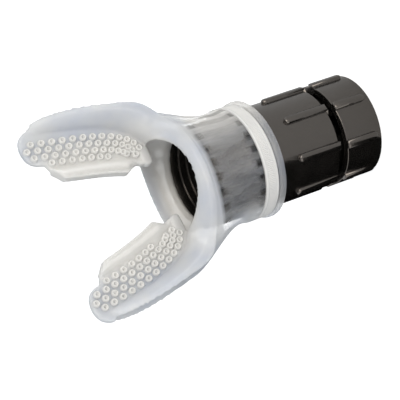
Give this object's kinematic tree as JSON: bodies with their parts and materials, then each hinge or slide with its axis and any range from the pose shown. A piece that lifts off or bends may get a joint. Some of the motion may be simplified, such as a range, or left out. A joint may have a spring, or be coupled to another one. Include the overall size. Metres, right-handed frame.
{
  "type": "breathing trainer",
  "caption": "Hand-held breathing trainer with a soft bite mouthpiece on a ribbed tube and a screw-in end dial that throttles the air path.",
  "frame": {"origin": "centre of the dial's flat end, on which the trainer stands", "axes": "+Z along the tube's axis towards the mouthpiece, X across the bite from wing to wing, Y square to the bite plane"},
  "size_m": [0.0614, 0.0404, 0.1042],
  "materials": {
    "clear_silicone": "milky translucent moulded silicone",
    "white_nylon": "moulded white nylon",
    "black_plastic": "semi-gloss moulded black plastic",
    "grey_plastic": "moulded grey plastic",
    "black_rubber": "smooth seal rubber",
    "spring_steel": "stamped stainless steel"
  },
  "bodies": {
    "housing": {"barrel": "black_plastic", "mouthpiece": "clear_silicone", "cable_tie": "white_nylon", "seat_plate": "grey_plastic", "seat_gasket": "black_rubber", "exhale_flap": "clear_silicone", "flap_clip": "spring_steel", "snap_ring": "spring_steel"},
    "plug": {"valve_plug": "grey_plastic", "plug_seal": "black_rubber"},
    "dial": {"dial": "black_plastic", "stem": "spring_steel", "stem_clip": "spring_steel", "thrust_washer": "white_nylon", "neck_o_ring": "black_rubber", "travel_clip": "spring_steel"}
  },
  "joints": [
    {"name": "plug_lift", "type": "slide", "parent": "housing", "child": "plug", "axis": [0, 0, 1], "range_m": [-0.00251, 0.00188]},
    {"name": "dial_turn", "type": "hinge", "parent": "plug", "child": "dial", "pos_m": [0, 0, 0], "axis": [0, 0, 1], "range_deg": [-360, 270]}
  ],
  "couplings": [
    {"joint": "plug_lift", "follows": "dial_turn", "m_per_rad": 0.00039789}
  ]
}
